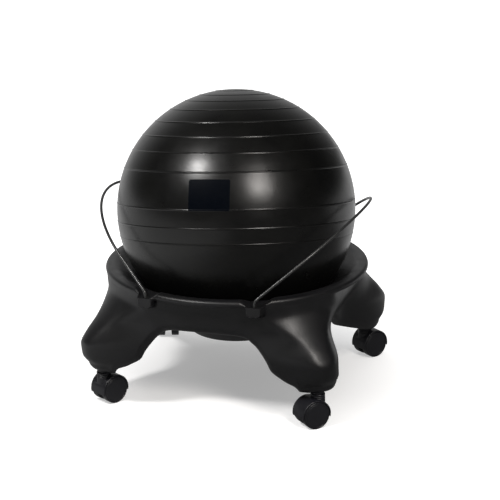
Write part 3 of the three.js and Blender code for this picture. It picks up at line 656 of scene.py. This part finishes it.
def on_ball(body):
    """Turns a body about the ball's pole into the chair."""
    points, faces = body
    axis = Vector((-math.sin(BALL_LEAN_HEADING), math.cos(BALL_LEAN_HEADING), 0))
    turn = np.array(Matrix.Rotation(BALL_TILT, 3, axis))
    return points @ turn.T + np.array([0, 0, BALL_CENTRE]), faces


# Wire hoops
def hoop_path(side):
    def at(u, v):
        return np.array([side * (WIRE_END_X + v * math.cos(WIRE_TILT)), u,
                         WIRE_END_Z + v * math.sin(WIRE_TILT)])
    centre = WIRE_RISE - WIRE_ARC
    spread = math.hypot(WIRE_END_Y, centre)
    start = math.atan2(-centre, WIRE_END_Y) + math.acos(WIRE_ARC / spread)

    def arc(t):
        a = start + (math.pi - 2 * start) * t
        return at(-WIRE_ARC * math.cos(a), centre + WIRE_ARC * math.sin(a))

    def half(end):
        corner = at(end * WIRE_END_Y, 0)
        touch = arc(0 if end < 0 else 1)
        below = corner - [0, 0, WIRE_BEND]
        along = corner + (touch - corner) / np.linalg.norm(touch - corner) * WIRE_BEND
        bottom = corner - [0, 0, WIRE_STUB]
        line = [bottom, bottom + (below - bottom) * 0.5]
        for k in range(BEND_STEPS + 1):
            t = k / BEND_STEPS
            line.append(below * (1 - t) ** 2 + corner * 2 * t * (1 - t) + along * t * t)
        for k in range(1, BEND_STEPS):
            line.append(along + (touch - along) * k / BEND_STEPS)
        return line
    front, back = half(-1), half(1)
    return np.array(front + [arc(k / ARC_STEPS) for k in range(ARC_STEPS + 1)] + back[::-1])


def tube(path, radius, sides=20):
    """A round wire along a path, its ends chamfered."""
    tangents = np.gradient(path, axis=0)
    tangents /= np.linalg.norm(tangents, axis=1)[:, None]
    normal = np.array([0.0, 1.0, 0.0])
    angles = np.arange(sides) * 2 * math.pi / sides
    rings = []
    last = len(path) - 1
    for i, (point, tangent) in enumerate(zip(path, tangents)):
        normal = normal - tangent * np.dot(normal, tangent)
        normal /= np.linalg.norm(normal)
        cross = np.cross(tangent, normal)
        ring = radius * (np.cos(angles)[:, None] * normal + np.sin(angles)[:, None] * cross)
        if i == 0:
            rings += [point + WIRE_TIP_SHARE * ring, point + WIRE_CHAMFER * tangent + ring]
        elif i == last:
            rings += [point - WIRE_CHAMFER * tangent + ring, point + WIRE_TIP_SHARE * ring]
        else:
            rings.append(point + ring)
    count = len(rings)
    faces = []
    for i in range(count - 1):
        for j in range(sides):
            k = (j + 1) % sides
            faces.append((i * sides + j, i * sides + k, (i + 1) * sides + k, (i + 1) * sides + j))
    faces.append(tuple(range(sides - 1, -1, -1)))
    faces.append(tuple((count - 1) * sides + j for j in range(sides)))
    return np.vstack(rings), faces


# Casters
def about_axle(points):
    """Points given as turned about Z are laid over so that Z becomes the axle, along Y."""
    x, y, z = np.asarray(points, float).T
    return np.stack([x, -z, y], 1) + np.array([TRAIL, 0, WHEEL])


def fender_body():
    """Fender and web: one cross-section swept over the wheels, its two ends pinched thin."""
    section = [(HOOD_OUT, -HOOD_HALF), (HOOD_OUT, HOOD_HALF), (HOOD_IN, HOOD_HALF), (HOOD_IN, WEB_HALF),
               (AXLE_BORE, WEB_HALF), (AXLE_BORE, -WEB_HALF), (HOOD_IN, -WEB_HALF), (HOOD_IN, -HOOD_HALF)]
    smooth = []
    for i, corner in enumerate(section):
        if i in HOOD_ROUNDS:
            smooth += round_corner(section[i - 1], corner, section[(i + 1) % 8], HOOD_ROUNDS[i])
        else:
            smooth.append(corner)
    crown = []
    for r, y in smooth:
        crown.append((r - HOOD_CROWN * (y / HOOD_HALF) ** 2 if r > HOOD_IN + 0.5 else r, y))
    rows = len(crown)
    mid = (HOOD_OUT + HOOD_IN) / 2
    rings = []
    for k in range(HOOD_STEPS + 1):
        a = -HOOD_LIP + (math.pi + 2 * HOOD_LIP) * k / HOOD_STEPS
        edge = min(k, HOOD_STEPS - k)
        pinch = 1 - HOOD_PINCH * max(0, 1 - edge / HOOD_PINCH_STEPS) ** 2
        for r, y in crown:
            rr = mid + (r - mid) * pinch if r > HOOD_IN - 0.1 else r
            rings.append((rr * math.cos(a), rr * math.sin(a), -y))
    faces = []
    for k in range(HOOD_STEPS):
        for j in range(rows):
            n = (j + 1) % rows
            faces.append((k * rows + j, k * rows + n, (k + 1) * rows + n, (k + 1) * rows + j))
    faces.append(tuple(range(rows - 1, -1, -1)))
    faces.append(tuple(HOOD_STEPS * rows + j for j in range(rows)))
    return about_axle(rings), faces


def neck_profile():
    profile = [(0, NECK_BOTTOM), (NECK_RADIUS, NECK_BOTTOM), (NECK_RADIUS, GROOVE_START)]
    for low in GROOVE_LEVELS:
        profile += raised(GROOVE_PROFILE, low)
    chamfer_radius, chamfer_start = NECK_CHAMFER
    return profile + [(NECK_RADIUS, chamfer_start), (chamfer_radius, NECK_TOP), (SKIRT_RADIUS, NECK_TOP),
                      (SKIRT_RADIUS, COLLAR_TOP - 0.5), (SKIRT_RADIUS - 0.4, COLLAR_TOP),
                      (SKIRT_BORE, COLLAR_TOP), (SKIRT_BORE, NECK_TOP), (TAIL_BORE, NECK_TOP),
                      (TAIL_BORE, TAIL_BORE_BOTTOM), (0, TAIL_BORE_BOTTOM)]


def hood_mesh():
    """One-piece hood: fender, web, grooved neck with its bore, and the axle's hub."""
    fender = joined("hood", [fender_body()])
    neck = joined("neck", [lathe(neck_profile(), 56)])
    room_radius = HOOD_IN + WHEEL_ROOM
    for side in (1, -1):
        points, faces = lathe([(0, WEB_HALF), (room_radius, WEB_HALF), (room_radius, ROOM_HALF),
                                (0, ROOM_HALF)], 72)
        if side < 0:
            faces = [tuple(reversed(f)) for f in faces]
        neck = cut(neck, joined("room", [(about_axle(points * [1, 1, side]), faces)]), "DIFFERENCE")
    hood = cut(fender, neck, "UNION")
    hood = cut(hood, joined("tail", [disc_body(TAIL_BORE, TAIL_BORE_BOTTOM, NECK_TOP + 1, (0, 0), 56)]),
               "DIFFERENCE")
    points, faces = lathe([(AXLE_BORE, -WEB_HALF), (HUB_RADIUS, -WEB_HALF), (HUB_RADIUS, WEB_HALF),
                           (AXLE_BORE, WEB_HALF)], 40)
    return cut(hood, joined("hub", [(about_axle(points), faces)]), "UNION")


def wheel_body(side):
    inner = WEB_HALF + WHEEL_GAP
    profile = raised(WHEEL_INSIDE, inner) + raised(WHEEL_OUTSIDE, inner + WHEEL_WIDTH)
    smooth = []
    for i, corner in enumerate(profile):
        tread = i in TREAD_CORNERS
        if corner[0] == 0 or i in (0, len(profile) - 1):
            smooth.append(corner)
        else:
            smooth += round_corner(profile[i - 1], corner, profile[i + 1],
                                   TREAD_ROUND if tread else SMALL_ROUND, 5 if tread else 2)
    points, faces = lathe(smooth, 72)
    if side > 0:
        faces = [tuple(reversed(f)) for f in faces]
    return about_axle(points * [1, 1, -side]), faces


def axle_body():
    half = WEB_HALF + WHEEL_WIDTH - CAP_THICKNESS
    tip = AXLE - AXLE_CHAMFER
    points, faces = lathe([(0, -half), (tip, -half), (AXLE, -half + AXLE_CHAMFER),
                           (AXLE, half - AXLE_CHAMFER), (tip, half), (0, half)], 32)
    return about_axle(points), faces


def stem_body():
    return lathe(raised(STEM_BELOW_COLLAR, COLLAR_BOTTOM) + raised(STEM_ABOVE_COLLAR, COLLAR_TOP), 40)


# Materials
def add(tree, kind, inputs=None, **settings):
    """A shader node; an input is a value or the socket that feeds it."""
    node = tree.nodes.new(kind)
    for key, value in settings.items():
        setattr(node, key, value)
    for key, value in (inputs or {}).items():
        if isinstance(value, bpy.types.NodeSocket):
            tree.links.new(value, node.inputs[key])
        else:
            node.inputs[key].default_value = value
    return node


def math_node(tree, operation, a, b=0.0):
    inputs = {0: a} if operation == "ABSOLUTE" else {0: a, 1: b}
    return add(tree, "ShaderNodeMath", inputs, operation=operation).outputs[0]


def dot(tree, vector, way):
    return add(tree, "ShaderNodeVectorMath", {0: vector, 1: way}, operation="DOT_PRODUCT").outputs["Value"]


def rgb(value):
    """sRGB 0-255 to linear."""
    out = []
    for v in value:
        c = v / 255
        out.append(c / 12.92 if c <= 0.04045 else ((c + 0.055) / 1.055) ** 2.4)
    return (*out, 1.0)


def ranged(tree, value, low, high, to_low, to_high, kind="LINEAR"):
    return add(tree, "ShaderNodeMapRange", {"Value": value, "From Min": low, "From Max": high,
                                            "To Min": to_low, "To Max": to_high},
               interpolation_type=kind).outputs["Result"]


def mixed(tree, factor, a, b):
    node = add(tree, "ShaderNodeMix", data_type="RGBA")
    for slot, value in (("Factor_Float", factor), ("A_Color", a), ("B_Color", b)):
        socket = next(s for s in node.inputs if s.identifier == slot)
        if isinstance(value, bpy.types.NodeSocket):
            tree.links.new(value, socket)
        else:
            socket.default_value = value
    return next(s for s in node.outputs if s.identifier == "Result_Color")


def mixed_value(tree, factor, a, b):
    node = add(tree, "ShaderNodeMix", {"Factor": factor, "A": a, "B": b}, data_type="FLOAT")
    return node.outputs["Result"]


def noise(tree, scale, detail=3.0, rough=0.5, vector=None):
    place = vector or add(tree, "ShaderNodeTexCoord").outputs["Object"]
    return add(tree, "ShaderNodeTexNoise", {"Vector": place, "Scale": scale, "Detail": detail,
                                            "Roughness": rough}).outputs["Fac"]


def new_material(name):
    material = bpy.data.materials.new(name)
    material.use_nodes = True
    return material, material.node_tree


def satin(name, dark, light, edge_wear_and_glint_colour, roughness, grain, depth, edge_wear_and_glint=0.5, specular=0.5):
    """Moulded plastic or vinyl: mottled colour, lighter sharp edges (rubbed wear; on the ball's rings a
    painted highlight), uneven gloss and a fine grain.
    """
    material, tree = new_material(name)
    shader = tree.nodes["Principled BSDF"]
    place = add(tree, "ShaderNodeTexCoord").outputs["Object"]
    cloud = ranged(tree, noise(tree, 11.0, 4.0, 0.6, place), 0.35, 0.65, 0.0, 1.0)
    colour = mixed(tree, cloud, rgb(dark), rgb(light))
    point = add(tree, "ShaderNodeNewGeometry").outputs["Pointiness"]
    # lighter tone on pointy edges: rubbed wear, and on the ball's ring crests a painted highlight
    worn_and_glinting_edges = ranged(tree, point, 0.53, 0.62, 0.0, edge_wear_and_glint)
    patchy = ranged(tree, noise(tree, 60.0, 3.0, 0.6, place), 0.4, 0.7, 0.2, 1.0)
    colour = mixed(tree, math_node(tree, "MULTIPLY", worn_and_glinting_edges, patchy), colour, rgb(edge_wear_and_glint_colour))
    tree.links.new(colour, shader.inputs["Base Color"])
    gloss = ranged(tree, noise(tree, 34.0, 5.0, 0.65, place), 0.3, 0.7, *roughness)
    tree.links.new(gloss, shader.inputs["Roughness"])
    shader.inputs["Specular IOR Level"].default_value = specular
    fine = add(tree, "ShaderNodeTexNoise", {"Vector": place, "Scale": grain, "Detail": 2.0})
    cells = add(tree, "ShaderNodeTexVoronoi", {"Vector": place, "Scale": grain * 0.6})
    height = math_node(tree, "ADD", fine.outputs["Fac"], cells.outputs["Distance"])
    bump = add(tree, "ShaderNodeBump", {"Height": height, "Strength": 0.35, "Distance": depth})
    tree.links.new(bump.outputs["Normal"], shader.inputs["Normal"])
    return material


def add_patch(material):
    """A plain blue-black panel with rounded corners, printed between two rings of the ball."""
    tree = material.node_tree
    shader = tree.nodes["Principled BSDF"]
    place = add(tree, "ShaderNodeTexCoord").outputs["Object"]
    spot = add(tree, "ShaderNodeVectorMath", {0: place, 1: (0.0, 0.0, -BALL_CENTRE * MM)},
               operation="ADD").outputs[0]
    beyond = []
    for axis, half in ((PATCH_EAST, PATCH_HALF_WIDTH), (PATCH_NORTH, PATCH_HALF_HEIGHT)):
        size = math_node(tree, "ABSOLUTE", dot(tree, spot, axis))
        over = math_node(tree, "SUBTRACT", size, (half - PATCH_CORNER) * MM)
        beyond.append(math_node(tree, "MAXIMUM", over, 0.0))
    corner = add(tree, "ShaderNodeCombineXYZ", {"X": beyond[0], "Y": beyond[1]}).outputs["Vector"]
    gap = add(tree, "ShaderNodeVectorMath", {0: corner}, operation="LENGTH").outputs["Value"]
    inside = ranged(tree, gap, (PATCH_CORNER - 0.4) * MM, (PATCH_CORNER + 0.4) * MM, 1.0, 0.0)
    front = math_node(tree, "GREATER_THAN", dot(tree, spot, PATCH_OUT), 0.1)
    mask = math_node(tree, "MULTIPLY", inside, front)
    ink = mixed(tree, noise(tree, 160.0, 3.0, 0.6, place), rgb((1, 3, 7)), rgb((3, 5, 10)))
    plain = shader.inputs["Base Color"].links[0].from_socket
    tree.links.new(mixed(tree, mask, plain, ink), shader.inputs["Base Color"])
    gloss = shader.inputs["Roughness"].links[0].from_socket
    flat = ranged(tree, noise(tree, 90.0, 3.0, 0.6, place), 0.3, 0.7, 0.40, 0.5)
    tree.links.new(mixed_value(tree, mask, gloss, flat), shader.inputs["Roughness"])
    level = shader.inputs["Specular IOR Level"]
    tree.links.new(ranged(tree, mask, 0.0, 1.0, level.default_value, 0.03), level)


def zinc_steel():
    """Plated steel with a faint spangle and turning lines."""
    material, tree = new_material("zinc_steel")
    shader = tree.nodes["Principled BSDF"]
    place = add(tree, "ShaderNodeTexCoord").outputs["Object"]
    spangle = ranged(tree, noise(tree, 420.0, 3.0, 0.6, place), 0.3, 0.7, 0.0, 1.0)
    tree.links.new(mixed(tree, spangle, (0.50, 0.50, 0.51, 1), (0.66, 0.66, 0.67, 1)),
                   shader.inputs["Base Color"])
    shader.inputs["Metallic"].default_value = 1.0
    turned = add(tree, "ShaderNodeMapping", {"Vector": place, "Scale": (1.0, 1.0, 60.0)}).outputs["Vector"]
    lines = noise(tree, 90.0, 3.0, 0.6, turned)
    tree.links.new(ranged(tree, lines, 0.3, 0.7, 0.26, 0.46), shader.inputs["Roughness"])
    bump = add(tree, "ShaderNodeBump", {"Height": lines, "Strength": 0.25, "Distance": 0.00004})
    tree.links.new(bump.outputs["Normal"], shader.inputs["Normal"])
    return material


base_plastic = satin("satin_black_base", (11, 11, 12), (15, 15, 17), (40, 40, 43), (0.38, 0.46),
                     1500.0, 0.00006, specular=0.42)
# on the ball the pale crest colour at full strength is a painted highlight: the lamps' glints drawn along
# every ring
ball_vinyl = satin("satin_black_vinyl", (6, 6, 6), (10, 10, 9), (74, 73, 70), (0.27, 0.33),
                   1100.0, 0.00006, edge_wear_and_glint=1.0, specular=0.36)
wire_coat = satin("coated_wire", (30, 31, 31), (38, 38, 38), (80, 80, 80), (0.3, 0.42), 2200.0, 0.00002)
nylon = satin("black_nylon", (14, 14, 18), (19, 19, 24), (44, 44, 50), (0.36, 0.46), 1900.0, 0.00004)
plug_plastic = satin("matte_black_plug", (26, 26, 26), (34, 34, 34), (60, 60, 60), (0.5, 0.62),
                     1500.0, 0.00005)
add_patch(ball_vinyl)
steel = zinc_steel()


# Assembly
def give(obj, material, body, node_name):
    obj.data.materials.clear()
    obj.data.materials.append(material)
    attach(obj, body)
    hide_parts(node_name)


give(finish_base(base_shell()), base_plastic, "base", "base_shell")
give(joined("ball_skin", [on_ball(ball_body())]), ball_vinyl, "ball", "ball")
plug = lathe(raised(PLUG_PROFILE, -BALL_RADIUS - PLUG_GAP), 48)
give(joined("valve_plug_body", [on_ball(plug)]), plug_plastic, "valve_plug", "valve_plug")
for side, name in ((1, "right"), (-1, "left")):
    give(joined(f"hoop_wire_{name}", [tube(hoop_path(side), WIRE_RADIUS)]), wire_coat,
         f"hoop_{name}", f"side_hoop_{name}")

hood_shape = hood_mesh()
hood_points = np.array([v.co for v in hood_shape.data.vertices]) / MM
hood_faces = [tuple(p.vertices) for p in hood_shape.data.polygons]
bpy.data.objects.remove(hood_shape)
for tag, (sx, sy, degrees) in CORNERS.items():
    shift = (sx * CASTER_X, sy * CASTER_Y, 0)
    turn = math.radians(degrees)
    for piece, body, rides, material, slot in (
            ("socket", lathe(raised(SOCKET_PROFILE, FOOT_BOTTOM), 40), "base", nylon, "caster_nylon"),
            ("stem", stem_body(), "base", steel, "bare_steel"),
            ("hood", (hood_points, hood_faces), f"swivel_{tag}", nylon, "caster_nylon"),
            ("axle", axle_body(), f"swivel_{tag}", steel, "bare_steel"),
            ("wheel_a", wheel_body(1), f"wheel_{tag}_a", nylon, "caster_nylon"),
            ("wheel_b", wheel_body(-1), f"wheel_{tag}_b", nylon, "caster_nylon")):
        obj = joined(f"{tag}_{piece}", [placed(body, 0 if rides == "base" else turn, shift)])
        give(obj, material, rides, f"caster_{tag}_{piece}")


# Floor and surroundings
def mirror_rays(tree, path):
    return math_node(tree, "MAXIMUM", path.outputs["Is Glossy Ray"], path.outputs["Is Transmission Ray"])


def white_paper():
    """White to the eye, its glow weaker towards the chair as painted shade that deepens the chair's
    shadow; to the mirror a painted reflection, brighter on the left and far away.
    """
    material, tree = new_material("white_paper")
    tree.nodes.clear()
    place = add(tree, "ShaderNodeTexCoord").outputs["Object"]
    away = add(tree, "ShaderNodeVectorMath", {0: place}, operation="LENGTH").outputs["Value"]
    path = add(tree, "ShaderNodeLightPath")
    # the eye's white glow is weaker near the chair: painted shade that deepens the chair's shadow on the
    # floor
    lift = ranged(tree, away, 0.2, 0.75, 0.30, 1.0)
    eye_glow_with_painted_shade = math_node(tree, "MULTIPLY", path.outputs["Is Camera Ray"], lift)
    # what mirrors see of the floor is a painted reflection: a glow, brighter to the left and far behind,
    # in place of its lit colour
    leftward = dot(tree, place, (0.9575, 0.288, 0.0))
    backward = dot(tree, place, (-0.288, 0.9575, 0.0))
    painted_reflection_level = math_node(tree, "MAXIMUM", ranged(tree, leftward, -0.9, 0.0, 0.85, 0.15, "SMOOTHSTEP"),
                      ranged(tree, backward, 0.1, 0.7, 0.0, 0.9, "SMOOTHSTEP"))
    fibre = ranged(tree, noise(tree, 700.0, 3.0), 0.3, 0.7, 0.70, 0.72)
    tone = add(tree, "ShaderNodeCombineColor", {"Red": fibre, "Green": fibre, "Blue": fibre})
    matt = add(tree, "ShaderNodeBsdfDiffuse", {"Color": tone.outputs["Color"]})
    white = add(tree, "ShaderNodeEmission", {"Color": (1, 1, 1, 1), "Strength": eye_glow_with_painted_shade})
    both = add(tree, "ShaderNodeAddShader", {0: matt.outputs["BSDF"], 1: white.outputs["Emission"]})
    painted_reflection = add(tree, "ShaderNodeEmission", {"Color": (1, 1, 1, 1), "Strength": painted_reflection_level})
    split = add(tree, "ShaderNodeMixShader", {0: mirror_rays(tree, path), 1: both.outputs["Shader"],
                                              2: painted_reflection.outputs["Emission"]})
    add(tree, "ShaderNodeOutputMaterial", {"Surface": split.outputs["Shader"]})
    return material


FLOOR_RADIUS = 14.0
floor = bpy.data.objects.new("floor", bpy.data.meshes.new("floor"))
bpy.context.scene.collection.objects.link(floor)
shape = bmesh.new()
bmesh.ops.create_circle(shape, cap_ends=True, segments=96, radius=FLOOR_RADIUS)
shape.to_mesh(floor.data)
shape.free()
floor.data.materials.append(white_paper())


def light_world(tree):
    """White behind the chair to the eye, a glow behind it to the mirror and a plain fill to the rest."""
    tree.nodes.clear()
    way = add(tree, "ShaderNodeTexCoord").outputs["Generated"]
    path = add(tree, "ShaderNodeLightPath")
    behind = ranged(tree, dot(tree, way, (-0.305, 0.952, 0.0)), 0.35, 1.15, 0.03, 1.0, "SMOOTHSTEP")
    aside = ranged(tree, dot(tree, way, (0.952, 0.305, 0.0)), -0.5, 0.95, 0.92, 0.2, "SMOOTHSTEP")
    glow = math_node(tree, "MULTIPLY", behind, aside)
    fill = mixed_value(tree, mirror_rays(tree, path), 0.42, glow)
    level = mixed_value(tree, path.outputs["Is Camera Ray"], fill, 1.0)
    backdrop = add(tree, "ShaderNodeBackground", {"Color": (1, 1, 1, 1), "Strength": level})
    add(tree, "ShaderNodeOutputWorld", {"Surface": backdrop.outputs["Background"]})


world = bpy.context.scene.world or bpy.data.worlds.new("studio")
bpy.context.scene.world = world
world.use_nodes = True
light_world(world.node_tree)
bpy.context.scene.view_settings.view_transform = "Standard"

# Camera, set up as the photo was taken
EYE = Vector((1144.124, -3662.099, 1511.375)) * MM
LENS = 137.51
SENSOR = 36.0
PICTURE = 500
forward = Vector((-0.277559, 0.9114078, -0.303804)).normalized()
across = Vector((0.95753088, 0.28814367, -0.01038461))
across = (across - forward * across.dot(forward)).normalized()
upward = across.cross(forward)
camera = bpy.data.objects.new("camera", bpy.data.cameras.new("camera"))
camera.data.lens = LENS
camera.data.sensor_width = SENSOR
camera.data.clip_end = 60.0
facing = Matrix((across, upward, -forward)).transposed()
camera.matrix_world = Matrix.Translation(EYE) @ facing.to_4x4()
bpy.context.scene.collection.objects.link(camera)
bpy.context.scene.camera = camera


# Lamps
def lamp(name, at, aim, size, watts, colour=(1, 1, 1), glossy=True, size_y=None):
    data = bpy.data.lights.new(name, "AREA")
    data.energy = watts
    data.color = colour
    data.shape = "RECTANGLE"
    data.size = size
    data.size_y = size_y or size
    obj = bpy.data.objects.new(name, data)
    obj.location = at
    obj.rotation_euler = (Vector(aim) - Vector(at)).to_track_quat("-Z", "Y").to_euler()
    obj.visible_glossy = glossy
    bpy.context.scene.collection.objects.link(obj)


def glint(px, py, distance):
    """Where a lamp must hang for its mirror image to show on the ball at that place in the frame."""
    focal = LENS / SENSOR * PICTURE
    ray = (forward * focal + across * (px - PICTURE / 2) - upward * (py - PICTURE / 2)).normalized()
    centre = Vector((0, 0, BALL_CENTRE * MM))
    offset = EYE - centre
    b = offset.dot(ray)
    hit = EYE + ray * (-b - math.sqrt(b * b - offset.dot(offset) + (BALL_RADIUS * MM) ** 2))
    normal = (hit - centre).normalized()
    return hit + (ray - normal * 2 * ray.dot(normal)) * distance


ball_middle = (0, 0, BALL_CENTRE * MM)
WINDOW_AWAY = 2.3
lamp("overhead", (-0.1, 0.35, 3.0), (0, 0, 0.2), 2.2, 10.0, glossy=False)
lamp("window_left", glint(198, 167, WINDOW_AWAY), ball_middle, 0.42, 52.0, (1.0, 0.985, 0.97), size_y=0.36)
lamp("window_right", glint(259, 184, WINDOW_AWAY), ball_middle, 0.6, 42.0, (1.0, 0.96, 0.92), size_y=0.8)
